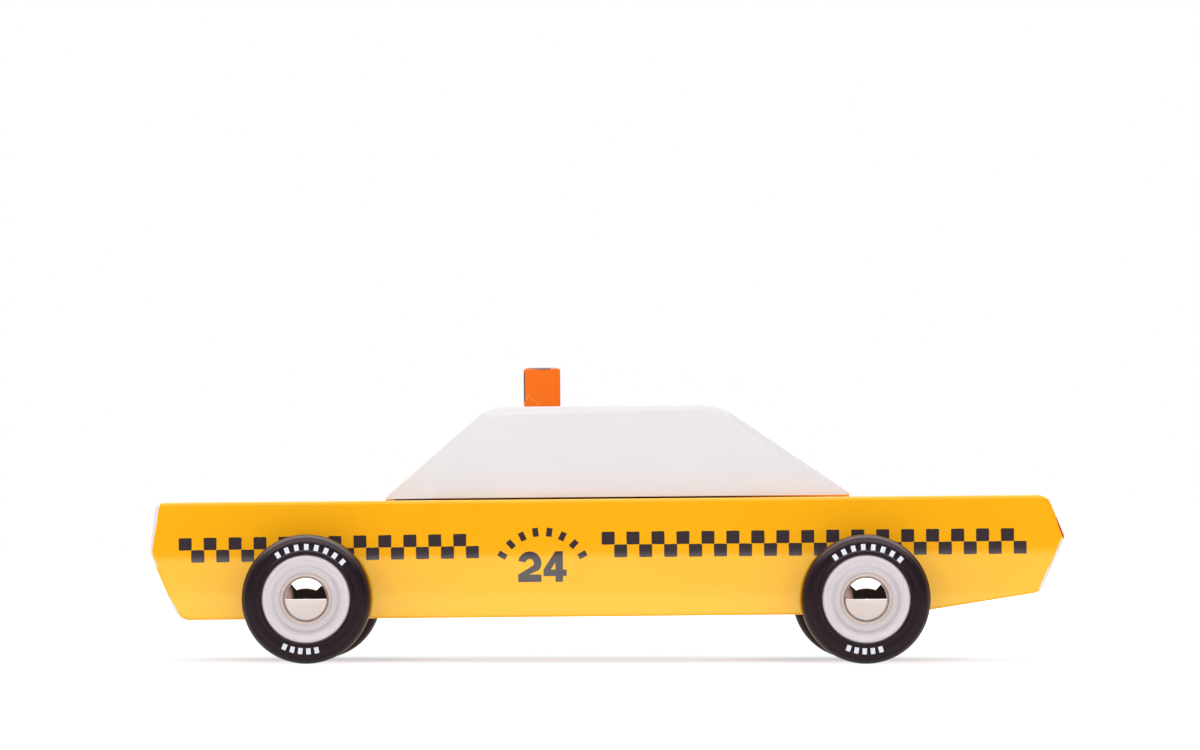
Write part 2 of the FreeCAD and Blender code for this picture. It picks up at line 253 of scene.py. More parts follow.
# Body block: a length of beech plank, sawn to a beaked nose and a pointed tail, sanded round its
# edges and sprayed in glossy yellow lacquer. It leans nose down by half a degree on its axles.
AXLE_HEIGHT = 12.85 * MM
NOSE_DOWN = math.radians(0.515)
CORNER_STEPS = 9
EDGE_STEPS = 5
NOSE_TIP, TAIL_TIP, BELLY, DECK = -91.385 * MM, 91.385 * MM, 9.35 * MM, 32.85 * MM
BODY_CORNERS = np.array([
    (NOSE_TIP + 5.75 * MM, BELLY), (TAIL_TIP - 31.8 * MM, BELLY), (TAIL_TIP - 4.9 * MM, 13.45 * MM),
    (TAIL_TIP, 24.4 * MM), (TAIL_TIP - 3.4 * MM, DECK), (NOSE_TIP + 1.35 * MM, DECK),
    (NOSE_TIP, 22.6 * MM)])
BODY_ROUNDING = np.array([3.2, 6.0, 2.6, 1.5, 2.8, 1.8, 3.5]) * MM
HALF_BODY = 28 * MM
# The side edges, corner by corner: the bevel's width and height, and how round its own corners are.
# The belly's edges are sanded less than the others.
BODY_EDGE = np.array([(0.25, 0.25, 0.35), (0.25, 0.25, 0.35), (0.25, 0.25, 0.35), (0.3, 0.6, 0.4),
                      (0.3, 0.75, 0.4), (0.3, 0.75, 0.4), (0.3, 0.6, 0.4)]) * MM
SAME_PLACE = 1e-8


def rounded_outline(corners, radii, steps=CORNER_STEPS):
    """Points round an outline that runs anticlockwise, and the way out at each. Every corner is an
    arc that turns evenly from the way out of the side before to that of the side after. Its
    centre is the corner less radius * (way before + way after) / (1 + their dot product), and a
    hollow corner has a negative radius. Points that fall together are kept once."""
    before = corners - np.roll(corners, 1, 0)
    heading = np.arctan2(before[:, 1], before[:, 0]) - math.pi / 2
    bend = (np.roll(heading, -1) - heading + math.pi) % (2 * math.pi) - math.pi
    radii = radii * np.sign(bend)
    way_before = np.stack([np.cos(heading), np.sin(heading)], -1)
    way_after = np.roll(way_before, -1, 0)
    share = 1 + (way_before * way_after).sum(-1, keepdims=True)
    centres = corners - radii[:, None] * (way_before + way_after) / share
    angle = heading[:, None] + bend[:, None] * np.linspace(0, 1, steps)
    ways = np.stack([np.cos(angle), np.sin(angle)], -1)
    points = (centres[:, None] + radii[:, None, None] * ways).reshape(-1, 2)
    ways = ways.reshape(-1, 2)
    apart = np.linalg.norm(points - np.roll(points, 1, 0), axis=-1) > SAME_PLACE
    return points[apart], ways[apart]


def lean(vectors, about=AXLE_HEIGHT):
    """Turns level-drawn points nose down about the line across the car at axle height. With
    about=0 it turns directions."""
    x, z = vectors[..., 0], vectors[..., 2] - about
    cos, sin = math.cos(NOSE_DOWN), math.sin(NOSE_DOWN)
    return np.stack([x * cos - z * sin, vectors[..., 1], z * cos + x * sin + about], -1)


def grid_quads(rows, columns, wrap_rows=False, wrap_columns=False):
    """Corner numbers of the faces of a grid whose points are counted row by row."""
    row, column = np.meshgrid(np.arange(rows - (not wrap_rows)),
                              np.arange(columns - (not wrap_columns)), indexing="ij")
    row_after, column_after = (row + 1) % rows, (column + 1) % columns
    return np.stack([row * columns + column, row * columns + column_after,
                     row_after * columns + column_after, row_after * columns + column],
                    -1).reshape(-1, 4)


def facing_out(points, ways, quads):
    """The faces with those reversed whose own direction, the cross product of their diagonals,
    goes against the way out at their corners."""
    across = np.cross(points[quads[:, 2]] - points[quads[:, 0]],
                      points[quads[:, 3]] - points[quads[:, 1]])
    wrong = (across * ways[quads].sum(1)).sum(-1) < 0
    return np.where(wrong[:, None], quads[:, ::-1], quads)


def put_in_scene(name, mesh, material):
    """A finished mesh as an object at the origin, with one material."""
    mesh.materials.append(material)
    piece = bpy.data.objects.new(name, mesh)
    scene.collection.objects.link(piece)
    return piece


def edge_profile(width, height, softening):
    """A plank's edge: a bevel that takes width off the outline's own face and height off the flat
    side, with both its corners softened to arcs. Its sizes may change along the outline. The bevel
    tips sideways by tip = arctan(height / width). As turn runs from none, along the outline's way
    out, to a quarter, straight sideways, the place inside each face is its arc's centre less
    softening * sin turn or cos turn. A centre lies softening inside its own face, and inside the
    other the bevel plus softening * tan of half the turn between bevel and face."""
    width, height, softening = np.broadcast_arrays(*np.atleast_1d(width, height, softening))
    tip = np.arctan2(height, width)
    part = np.linspace(0, 1, EDGE_STEPS)[:, None]
    first, second = tip * part, tip + (math.pi / 2 - tip) * part
    from_side = np.concatenate([width + softening * (np.tan(tip / 2) - np.sin(first)),
                                softening * (1 - np.sin(second))])
    inset = np.concatenate([softening * (1 - np.cos(first)),
                            height + softening * (np.tan(math.pi / 4 - tip / 2) - np.cos(second))])
    return np.concatenate([first, second]), from_side, inset


def carried(ring, out, half_width, profile):
    """An outline carried straight across the car, and over the edge profile at each side. There it
    draws in along its ways out, and they tip sideways by the profile's turn."""
    turn, from_side, inset = profile
    turn = np.concatenate([-turn[::-1], turn])
    y = np.concatenate([from_side[::-1] - half_width, half_width - from_side])
    inset = np.concatenate([inset[::-1], inset])
    points = np.stack(np.broadcast_arrays(
        ring[:, 0] - inset * out[:, 0], y, ring[:, 1] - inset * out[:, 1]), -1)
    ways = np.stack(np.broadcast_arrays(
        np.cos(turn) * out[:, 0], np.sin(turn), np.cos(turn) * out[:, 1]), -1)
    return points, ways


def block_faces(points, ways):
    """The faces of a plank: the quads of its grid and the two flat sides."""
    rows, columns = points.shape[:2]
    quads = facing_out(points.reshape(-1, 3), ways.reshape(-1, 3),
                       grid_quads(rows, columns, wrap_columns=True))
    near = np.arange(columns)
    return [*quads.tolist(), near.tolist(), (near[::-1] + (rows - 1) * columns).tolist()]


def plank(name, outline, half_width, profile, material):
    """A plank, leaned as the car is. Its shading follows the exact ways out of its surface."""
    points, ways = carried(*outline, half_width, profile)
    mesh = bpy.data.meshes.new(name)
    mesh.from_pydata(lean(points).reshape(-1, 3), [], block_faces(points, ways))
    mesh.shade_smooth()
    mesh.normals_split_custom_set_from_vertices(lean(ways, 0).reshape(-1, 3))
    return put_in_scene(name, mesh, material)


GLOSS_INDEX, GLOSS_ROUGHNESS = 1.75, 0.018


def lacquer(name, colour, gloss_index=GLOSS_INDEX, gloss_colour="#FFFFFF"):
    """Sprayed lacquer on sanded beech. The eye gets a clean, deep colour with a wet gloss over it,
    and only a trace of the long pores of the wood. Pores are about 0.1 mm wide and a few
    millimetres long; here they are 0.35 mm wide, so that they show at all."""
    material, tree = new_material(name)
    place = add(tree, "ShaderNodeTexCoord")
    along = add(tree, "ShaderNodeMapping", {
        "Vector": place.outputs["Object"], "Scale": (1 / (6 * MM), 1 / (0.35 * MM), 1 / (0.35 * MM))})
    pores = add(tree, "ShaderNodeTexNoise", {"Vector": along, "Scale": 1.0})
    clouds = add(tree, "ShaderNodeTexNoise", {
        "Vector": place.outputs["Object"], "Scale": 1 / (14 * MM), "Detail": 3.0})
    shade = add(tree, "ShaderNodeMapRange", {
        "Value": clouds, "From Min": 0.3, "From Max": 0.7, "To Min": 0.985, "To Max": 1.01})
    shade = add(tree, "ShaderNodeMath", {0: pores, 1: 0.03, 2: shade}, operation="MULTIPLY_ADD")
    tinted = add(tree, "ShaderNodeHueSaturation", {"Color": linear(colour), "Value": shade})
    surface = add(tree, "ShaderNodeBsdfPrincipled", {
        "Base Color": tinted, "Roughness": GLOSS_ROUGHNESS, "IOR": gloss_index,
        "Specular Tint": linear(gloss_colour)})
    return shown(material, surface)


yellow_lacquer = lacquer("yellow_lacquer_on_beech", "#FFB319", 1.9, "#FFFFB0")
body_outline = rounded_outline(BODY_CORNERS, BODY_ROUNDING)
body_profile = edge_profile(*np.repeat(BODY_EDGE.T, CORNER_STEPS, 1))
body = plank("yellow_body", body_outline, HALF_BODY, body_profile, yellow_lacquer)
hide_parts("body_block")
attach(body, "car")


# Cabin: a second beech block in glossy white, glued on the deck. Its screens slope, its roof edges
# are rounded, and both front corners are planed off to a point at the roof.
CABIN_FRONT = NOSE_TIP + 46.085 * MM
CABIN_REAR = CABIN_FRONT + 95.03 * MM
CABIN_HEIGHT = 18.6 * MM
WINDSCREEN_RUN, REAR_WINDOW_RUN = 21.95 * MM, 27.03 * MM
HALF_CABIN = 25 * MM
CABIN_ROUNDING = np.array([1.5, 1.5, 12.0, 7.3]) * MM
# The side edges are sanded wide at the front of the roof and at the foot of the rear screen. In
# order: front foot, rear foot, rear of the roof, front of the roof. The width is a share of the height.
CABIN_BEVEL, CABIN_BEVEL_SHARE = np.array([1.0, 1.5, 1.05, 1.75]) * MM, [0.4, 0.15, 0.4, 0.4]
CABIN_SOFTENING = 0.18 * MM
# The block starts lower than the deck by the saw's room, and is then cut level.
SAW_ROOM = 3 * MM
FACET_LENGTH, FACET_DEPTH = 10.0 * MM, 9.0 * MM
BASE_EASING = 0.4 * MM
FRONT_TOE, REAR_TOE, TOE_SLOPE = 0.85 * MM, 1.2 * MM, 0.3
TOUCHING = 1e-7


def keep_ways(mesh, ways):
    """Stores the way out at each vertex, so that it goes through an edit of the mesh."""
    kept = mesh.attributes.new("way_out", "FLOAT_VECTOR", "POINT")
    kept.data.foreach_set("vector", ways.ravel())


def take_ways(mesh):
    """The ways out that keep_ways stored. They are taken off the mesh."""
    ways = np.empty((len(mesh.vertices), 3), np.float32)
    mesh.attributes["way_out"].data.foreach_get("vector", ways.ravel())
    mesh.attributes.remove(mesh.attributes["way_out"])
    return ways


def sawn_block(name, points, ways, cuts, material):
    """A plank with corners cut off flat. Each cut is a point and the direction that it faces. What
    lies beyond is removed, the cut face is closed, and it is shaded flat."""
    mesh = bpy.data.meshes.new(name)
    mesh.from_pydata(points.reshape(-1, 3), [], block_faces(points, ways))
    keep_ways(mesh, ways)
    work = bmesh.new()
    work.from_mesh(mesh)
    for where, toward in cuts:
        cut = bmesh.ops.bisect_plane(
            work, geom=[*work.verts, *work.edges, *work.faces], dist=TOUCHING,
            plane_co=where.tolist(), plane_no=toward.tolist(), clear_outer=True)
        rim = [part for part in cut["geom_cut"] if isinstance(part, bmesh.types.BMEdge)]
        bmesh.ops.edgeloop_fill(work, edges=rim)
    bmesh.ops.recalc_face_normals(work, faces=work.faces)
    work.to_mesh(mesh)
    work.free()
    places = np.empty((len(mesh.vertices), 3), np.float32)
    mesh.vertices.foreach_get("co", places.ravel())
    places = places.astype(float)
    corner_vertex = np.empty(len(mesh.loops), int)
    mesh.loops.foreach_get("vertex_index", corner_vertex)
    corner_ways = take_ways(mesh).astype(float)[corner_vertex]
    starts = np.array([face.loop_start for face in mesh.polygons])
    owner = np.repeat(np.arange(len(starts)), np.diff([*starts, len(corner_vertex)]))
    for where, toward in cuts:
        toward = toward / np.linalg.norm(toward)
        off = np.abs((places - where) @ toward)[corner_vertex]
        flat = np.maximum.reduceat(off, starts) < 2 * TOUCHING
        corner_ways[flat[owner]] = toward
    corner_ways /= np.linalg.norm(corner_ways, axis=-1, keepdims=True)
    mesh.vertices.foreach_set("co", lean(places).ravel())
    mesh.shade_smooth()
    mesh.normals_split_custom_set(lean(corner_ways, 0))
    return put_in_scene(name, mesh, material)


front_slope = WINDSCREEN_RUN / CABIN_HEIGHT
rear_slope = REAR_WINDOW_RUN / CABIN_HEIGHT
cabin_corners = np.array([
    (CABIN_FRONT - SAW_ROOM * front_slope, DECK - SAW_ROOM),
    (CABIN_REAR + SAW_ROOM * rear_slope, DECK - SAW_ROOM),
    (CABIN_REAR - REAR_WINDOW_RUN, DECK + CABIN_HEIGHT),
    (CABIN_FRONT + WINDSCREEN_RUN, DECK + CABIN_HEIGHT)])
cabin_outline = rounded_outline(cabin_corners, CABIN_ROUNDING)
cabin_bevel = np.repeat(CABIN_BEVEL, CORNER_STEPS)
points, ways = carried(*cabin_outline, HALF_CABIN, edge_profile(
    np.repeat(CABIN_BEVEL_SHARE, CORNER_STEPS) * cabin_bevel, cabin_bevel, CABIN_SOFTENING))
# The facet plane holds the line across the corner at the base and the direction that runs up from
# it to the roof's corner, so it faces along their cross product.
apex_run = WINDSCREEN_RUN - FACET_LENGTH
facet_cuts = [
    (np.array([CABIN_FRONT + FACET_LENGTH, side * HALF_CABIN, DECK]),
     np.array([-FACET_DEPTH * CABIN_HEIGHT, side * FACET_LENGTH * CABIN_HEIGHT,
               FACET_DEPTH * apex_run]) / MM ** 2)
    for side in (-1, 1)]
base_cuts = [(np.array([0, 0, DECK]), np.array([0.0, 0, -1]))]
base_cuts += [(np.array([0, side * HALF_CABIN, DECK + BASE_EASING]), np.array([0.0, side, -1]))
              for side in (-1, 1)]
base_cuts += [(np.array([CABIN_FRONT + FRONT_TOE, 0, DECK]), np.array([-1.0, 0, -TOE_SLOPE])),
              (np.array([CABIN_REAR - REAR_TOE, 0, DECK]), np.array([1.0, 0, -TOE_SLOPE]))]
white_lacquer = lacquer("white_lacquer_on_beech", "#E4E0E3")
cabin = sawn_block("white_cabin", points, ways, facet_cuts + base_cuts, white_lacquer)
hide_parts("cabin_block")
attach(cabin, "car")

INK_LIFT, INK_DEPTH = 0.02 * MM, 0.05 * MM
# Sizes of the glue line, whose dark brown is partly painted shade in the seam under the cabin
GLUE_AND_SHADE_HEIGHT, GLUE_AND_SHADE_END, GLUE_AND_SHADE_STEPS = 0.37 * MM, 0.02 * MM, 12


def film(name, patches, ways, material, lift=INK_LIFT, depth=INK_DEPTH):
    """Thin closed sheets on a surface. Each patch is a grid of points on the surface: its outer
    layer stands lift above them and its inner one depth under them, along the ways out, and a
    strip round the edge joins the two."""
    count, rows, columns = patches.shape[:3]
    size = rows * columns
    quads = grid_quads(rows, columns)
    number = np.arange(size).reshape(rows, columns)
    edge = np.concatenate([number[0, :-1], number[:-1, -1], number[-1, :0:-1], number[:0:-1, 0]])
    strip = np.stack([edge, np.roll(edge, -1), np.roll(edge, -1) + size, edge + size], -1)
    one = np.concatenate([quads, quads[:, ::-1] + size, strip[:, ::-1]])
    faces = one + 2 * size * np.arange(count)[:, None, None]
    points = np.stack([patches + ways * lift, patches - ways * depth], 1).reshape(-1, 3)
    lit = np.stack([ways, -ways], 1).reshape(-1, 3)
    first = points[faces[:, 0]]
    wrong = (np.cross(first[:, 2] - first[:, 0], first[:, 3] - first[:, 1])
             * lit[faces[:, 0, 0]]).sum(-1) < 0
    faces = np.where(wrong[:, None, None], faces[..., ::-1], faces).reshape(-1, 4)
    mesh = bpy.data.meshes.new(name)
    mesh.from_pydata(points, [], faces)
    mesh.shade_smooth()
    mesh.set_sharp_from_angle(angle=math.radians(50))
    return put_in_scene(name, mesh, material)


def mottled(tree, size, detail, dark, light):
    """A tone that wanders between two colours, in patches of about the given size."""
    place = add(tree, "ShaderNodeTexCoord")
    patches = add(tree, "ShaderNodeTexNoise", {
        "Vector": place.outputs["Object"], "Scale": 1 / size, "Detail": detail})
    tone = add(tree, "ShaderNodeValToRGB", {"Fac": patches})
    tone.color_ramp.elements[0].color = linear(dark)
    tone.color_ramp.elements[1].color = linear(light)
    return tone


def glue_and_shade_brown():
    """Wood glue squeezed out, with painted shade: its dark brown stands in for the shadow in the seam
    at the cabin's foot. The eye gets a thin, uneven brown line, which turns orange towards the rear
    and at the front tip, where the yellow lacquer has run over it."""
    material, tree = new_material("brown_glue_and_painted_shade")
    # Painted shade: the dark brown stands in for the shadow in the seam at the cabin's foot.
    tone = mottled(tree, 4 * MM, 3.0, "#20120C", "#5A3012")
    tone.color_ramp.elements[0].position = 0.4
    tone.color_ramp.elements[1].position = 0.7
    place = add(tree, "ShaderNodeTexCoord")
    along = add(tree, "ShaderNodeSeparateXYZ", {0: place.outputs["Object"]})
    run = add(tree, "ShaderNodeMapRange", {
        "Value": along.outputs["X"], "From Min": 24 * MM, "From Max": 44 * MM})
    tip = add(tree, "ShaderNodeMapRange", {
        "Value": along.outputs["X"], "From Min": -42.8 * MM, "From Max": -43.2 * MM, "To Max": 0.7})
    run = add(tree, "ShaderNodeMath", {0: run, 1: tip})
    colour = add(tree, "ShaderNodeMix", {
        0: run, 6: tone, 7: linear("#F8A82A")}, data_type="RGBA")
    surface = add(tree, "ShaderNodeBsdfPrincipled", {
        "Base Color": colour.outputs[2], "Roughness": 0.6, "Specular IOR Level": 0.2})
    return shown(material, surface)


# The glue fills the eased edge along each side, and runs on along the foot of the facet. It is a
# dark sheet of glue and painted shade in the seam under the cabin. Its foot and its head are
# straight lines.
foot_y, head_y = HALF_CABIN - BASE_EASING, HALF_CABIN - BASE_EASING + GLUE_AND_SHADE_HEIGHT
crease, rear = CABIN_FRONT + FACET_LENGTH, CABIN_REAR - REAR_TOE - GLUE_AND_SHADE_END
tip = FRONT_TOE / FACET_LENGTH
tip_x, tip_y = CABIN_FRONT + FRONT_TOE, HALF_CABIN - FACET_DEPTH * (1 - tip)
part = np.linspace(0, 1, GLUE_AND_SHADE_STEPS)[:, None]
lines, outs = [], []
for side in (-1, 1):
    facet_way = facet_cuts[(side + 1) // 2][1]
    behind = GLUE_AND_SHADE_HEIGHT * apex_run / CABIN_HEIGHT
    for foot, head, way in (
            (((crease, side * foot_y, DECK), (rear, side * foot_y, DECK)),
             ((crease, side * head_y, DECK + GLUE_AND_SHADE_HEIGHT), (rear, side * head_y, DECK + GLUE_AND_SHADE_HEIGHT)),
             np.array([0, side, -1.0])),
            (((tip_x, side * tip_y, DECK), (crease, side * HALF_CABIN, DECK)),
             ((tip_x + behind, side * tip_y, DECK + GLUE_AND_SHADE_HEIGHT),
              (crease + behind, side * HALF_CABIN, DECK + GLUE_AND_SHADE_HEIGHT)), facet_way)):
        foot, head = np.array(foot), np.array(head)
        lines.append(np.stack([foot[0] + (foot[1] - foot[0]) * part,
                               head[0] + (head[1] - head[0]) * part]))
        outs.append(np.broadcast_to(way / np.linalg.norm(way), lines[-1].shape))
glue_and_shade = film("glue_and_shadow_line", lean(np.stack(lines)), lean(np.stack(outs), 0), glue_and_shade_brown())
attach(glue_and_shade, "car")


# Roof sign: a small beech block in orange lacquer. Plain dark panels cover its front and the middle
# of its top, and lap a little round its side edges. Its low front corner is scuffed.
SIGN_FRONT = CABIN_FRONT + WINDSCREEN_RUN + 6.78 * MM
SIGN_LENGTH, SIGN_HEIGHT, HALF_SIGN = 7.4 * MM, 8.15 * MM, 9.5 * MM
SIGN_ROUNDING, SIGN_EDGE = np.full(4, 0.7) * MM, np.array([0.25, 0.25, 0.4]) * MM
ROOF = DECK + CABIN_HEIGHT
# The front and the top of the outline start at these points of it.
FRONT_FACE, TOP_FACE = 4 * CORNER_STEPS - 1, 3 * CORNER_STEPS - 1
sign_corners = np.array([
    (SIGN_FRONT, ROOF), (SIGN_FRONT + SIGN_LENGTH, ROOF),
    (SIGN_FRONT + SIGN_LENGTH, ROOF + SIGN_HEIGHT), (SIGN_FRONT, ROOF + SIGN_HEIGHT)])
orange_lacquer = lacquer("orange_lacquer_on_beech", "#F47321")
sign_outline = rounded_outline(sign_corners, SIGN_ROUNDING)
sign_profile = edge_profile(*SIGN_EDGE)
sign = plank("orange_sign", sign_outline, HALF_SIGN, sign_profile, orange_lacquer)
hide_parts("roof_sign")
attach(sign, "car")

COAT_STEPS = 9
# The panel on the sign's top is thinner, so that the sign is no higher than the solid's box.
TOP_LIFT = 0.008 * MM


def coat(name, outline, half_width, profile, laps, material, lift=INK_LIFT):
    """A coat over part of a plank's outline, which laps round its edges. The laps are pairs: a place
    as a count along the outline's points, whole or not, and how far in from the outline the coat
    reaches there. It follows the plank's own surface, read off the edge profile."""
    at, reach = np.array(laps).T
    count = np.unique(np.concatenate([at, np.arange(math.ceil(at[0]), at[-1])]))
    whole = np.arange(3 * len(outline[0]))
    ring, out = (np.stack([np.interp(count, whole, np.tile(part[:, axis], 3)) for axis in (0, 1)], -1)
                 for part in outline)
    inset = np.linspace(0, 1, COAT_STEPS)[:, None] ** 2 * np.interp(count, at, reach * MM)
    nearest = np.round(count).astype(int) % profile[2].shape[1]
    turn, from_side = (np.stack([
        np.interp(inset[:, place], profile[2][:, n], part[:, n]) for place, n in enumerate(nearest)],
        -1) for part in profile[:2])
    points, ways = carried(ring, out, half_width, (turn, from_side, inset))
    piece = film(name, lean(points)[None], lean(ways, 0)[None], material, lift)
    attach(piece, "car")
    return piece


sign_print = lacquer("dark_violet_lacquer", "#33283F")
coat("sign_front_panel", sign_outline, HALF_SIGN, sign_profile,
     [(FRONT_FACE, 0.1), (FRONT_FACE + 0.1, 0.25), (FRONT_FACE + 0.85, 0.25),
      (FRONT_FACE + 0.93, 0.1)], sign_print)
coat("sign_top_panel", sign_outline, HALF_SIGN, sign_profile,
     [(TOP_FACE + 0.1, 0.12), (TOP_FACE + 0.22, 0.36), (TOP_FACE + 0.5, 0.4),
      (TOP_FACE + 0.75, 0.28), (TOP_FACE + 0.97, 0.12)], sign_print, TOP_LIFT)


def scratch(start, end, width):
    """A thin lens between two places, its edges apart by width * sin(pi * part of the way)."""
    part = np.linspace(0.02, 0.98, 8)[:, None]
    start, end = np.array(start), np.array(end)
    across = np.array([start[1] - end[1], end[0] - start[0]])
    across = across / np.linalg.norm(across) * width / 2 * np.sin(math.pi * part)
    middle = start + (end - start) * part
    return np.stack([middle - across, middle + across])


def scuffed_lacquer():
    """Lacquer scratched down to a chalky edge. The eye gets thin, dull lines paler than the paint."""
    material, tree = new_material("chalky_scuffs")
    tone = mottled(tree, 0.2 * MM, 2.0, "#F68F43", "#F8A868")
    surface = add(tree, "ShaderNodeBsdfPrincipled", {"Base Color": tone, "Roughness": 0.7})
    return shown(material, surface)


SCUFF_LIFT = 0.01 * MM
# Each scratch: its start and end, back from the sign's front and up from the roof, and its width
scratches = np.stack([scratch(*line) * MM for line in (
    ((0.5, 2.75), (1.5, 2.15), 0.16), ((1.4, 2.1), (2.3, 1.2), 0.14), ((2.3, 1.05), (3.4, 0.62), 0.14),
    ((0.5, 1.6), (0.75, 2.5), 0.12), ((2.95, 2.05), (3.2, 2.2), 0.2))])
places = np.stack([scratches[..., 0] + SIGN_FRONT, np.full(scratches.shape[:-1], -HALF_SIGN),
                   scratches[..., 1] + ROOF], -1)
out = np.zeros_like(places)
out[..., 1] = -1
scuffs = film("sign_scuffs", lean(places), out, scuffed_lacquer(), SCUFF_LIFT)
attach(scuffs, "car")


# Prints on the body: black ink stencilled on the flat sides, two rows of staggered squares with a
# plain number between them and a bow of short bars over it.
def black_ink():
    """Stencil ink under the last coat of lacquer. The eye gets a soft, brownish black, as glossy as
    the paint round it."""
    material, tree = new_material("black_stencil_ink")
    tone = mottled(tree, 0.5 * MM, 3.0, "#3A2F32", "#403639")
    surface = add(tree, "ShaderNodeBsdfPrincipled", {
        "Base Color": tone, "Roughness": 0.5, "Specular IOR Level": 0.0,
        "Coat Weight": 1.0, "Coat Roughness": GLOSS_ROUGHNESS, "Coat IOR": GLOSS_INDEX})
    return shown(material, surface)


def on_side(flat, side):
    """Level places along and up, put on one flat side of the body, with their ways out."""
    places = np.stack([flat[..., 0], np.full(flat.shape[:-1], side * HALF_BODY), flat[..., 1]], -1)
    out = np.zeros_like(places)
    out[..., 1] = side
    return lean(places), out


CHECKER_PITCH, SQUARE_LENGTH = 4.985 * MM, 2.6 * MM
SQUARE_CORNER = 0.2 * MM
# Each run of squares: where it starts and the height of the line between its rows, both level,
# the slope of that line, how many pairs of squares it has, and how high they are.
CHECKER_RUNS = ((-85.44 * MM, 23.24 * MM, math.radians(0.38), 12, 2.46 * MM),
                (-1.0 * MM, 23.68 * MM, 0.0, 17, 2.56 * MM))
STENCIL_SHAKE = 0.02 * MM


def checker_squares(start, height, slope, pairs, square_height, chance):
    """Two staggered rows of squares: the upper one starts first and the lower one half a pitch on.
    Each is the band between its foot and its head, which draw in by SQUARE_CORNER * (1 - sin turn)
    where the length so far is SQUARE_CORNER * (1 - cos turn). Every point is shaken a little, as a
    stencil's edge is, and the run turns by its slope."""
    turn = np.linspace(0, math.pi / 2, 4)
    end = SQUARE_CORNER * (1 - np.cos(turn))
    drawn = SQUARE_CORNER * (1 - np.sin(turn))
    across = np.concatenate([end, SQUARE_LENGTH * np.array([0.3, 0.5, 0.7]), SQUARE_LENGTH - end[::-1]])
    drawn = np.concatenate([drawn, np.zeros(3), drawn[::-1]])
    column = np.arange(2 * pairs)[:, None]
    low = np.where(column % 2 == 0, 0.0, -square_height)
    left = (column * CHECKER_PITCH + CHECKER_PITCH - SQUARE_LENGTH * 2) / 2
    x = np.stack([left + across] * 2, 1)
    z = np.stack([low + drawn, low + square_height - drawn], 1)
    x = x + chance.normal(0, STENCIL_SHAKE, x.shape)
    z = z + chance.normal(0, STENCIL_SHAKE, z.shape)
    return np.stack([start + x * math.cos(slope) - z * math.sin(slope),
                     height + x * math.sin(slope) + z * math.cos(slope)], -1)


ink = black_ink()
SIDES = ((-1, "left"), (1, "right"))
for side, side_name in SIDES:
    chance = np.random.default_rng(24)
    squares = np.concatenate([checker_squares(*run, chance) for run in CHECKER_RUNS])
    places, out = on_side(squares, side)
    checker = film("checker_stripe_" + side_name, places, out, ink)
    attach(checker, "car")

NUMBER_MIDDLE = -12.97 * MM
NUMBER_FOOT, NUMBER_HEIGHT, DIGIT_WIDTH, DIGIT_GAP = 16.35 * MM, 6.1 * MM, 4.65 * MM, 0.4 * MM
STROKE, STROKE_STEPS, FOOT_STEPS = 1.5 * MM, 36, 6
TWO_START, TWO_END = 170, -36


def digit_two():
    """A bold 2 in a box from (0, 0) to (DIGIT_WIDTH, NUMBER_HEIGHT), as two bands between an outer
    and an inner edge. The first is a bow, two arcs about one centre, that runs on straight to the
    foot, and the second is the bar along the foot."""
    outer_radius = DIGIT_WIDTH / 2
    angle = np.radians(np.linspace(TWO_START, TWO_END, STROKE_STEPS - FOOT_STEPS))
    arc = np.stack([np.cos(angle), np.sin(angle)], -1)
    centre = (outer_radius, NUMBER_HEIGHT - outer_radius)
    edges = []
    for radius, foot in ((outer_radius, STROKE * 1.45), (outer_radius - STROKE, 0.0)):
        edge = centre + arc * radius
        down = np.linspace(0.15, 1, FOOT_STEPS)[:, None]
        down = edge[-1] + ((foot, STROKE) - edge[-1]) * down
        edges.append(np.concatenate([edge, down]))
    bar = [np.linspace((0, height), (DIGIT_WIDTH, height), STROKE_STEPS) for height in (0, STROKE)]
    return [np.stack(edges), np.stack(bar)]


def digit_four():
    """A bold 4 in the same box: an upright, a slope that ends at it and on the bar, and the bar in
    two parts, before and behind the upright. Each is the band between two straight edges."""
    left, right = DIGIT_WIDTH - 2.25 * MM, DIGIT_WIDTH - 0.75 * MM
    low, high, top = 1.15 * MM, 2.45 * MM, NUMBER_HEIGHT
    inner_foot, inner_top = 1.5 * MM, top - 2.15 * MM
    edges = [(((left, 0), (left, top)), ((right, 0), (right, top))),
             (((0, high), (left, top)), ((inner_foot, high), (left, inner_top))),
             (((0, low), (left, low)), ((0, high), (left, high))),
             (((right, low), (DIGIT_WIDTH, low)), ((right, high), (DIGIT_WIDTH, high)))]
    return [np.stack([np.linspace(*edge, STROKE_STEPS) for edge in pair]) for pair in edges]


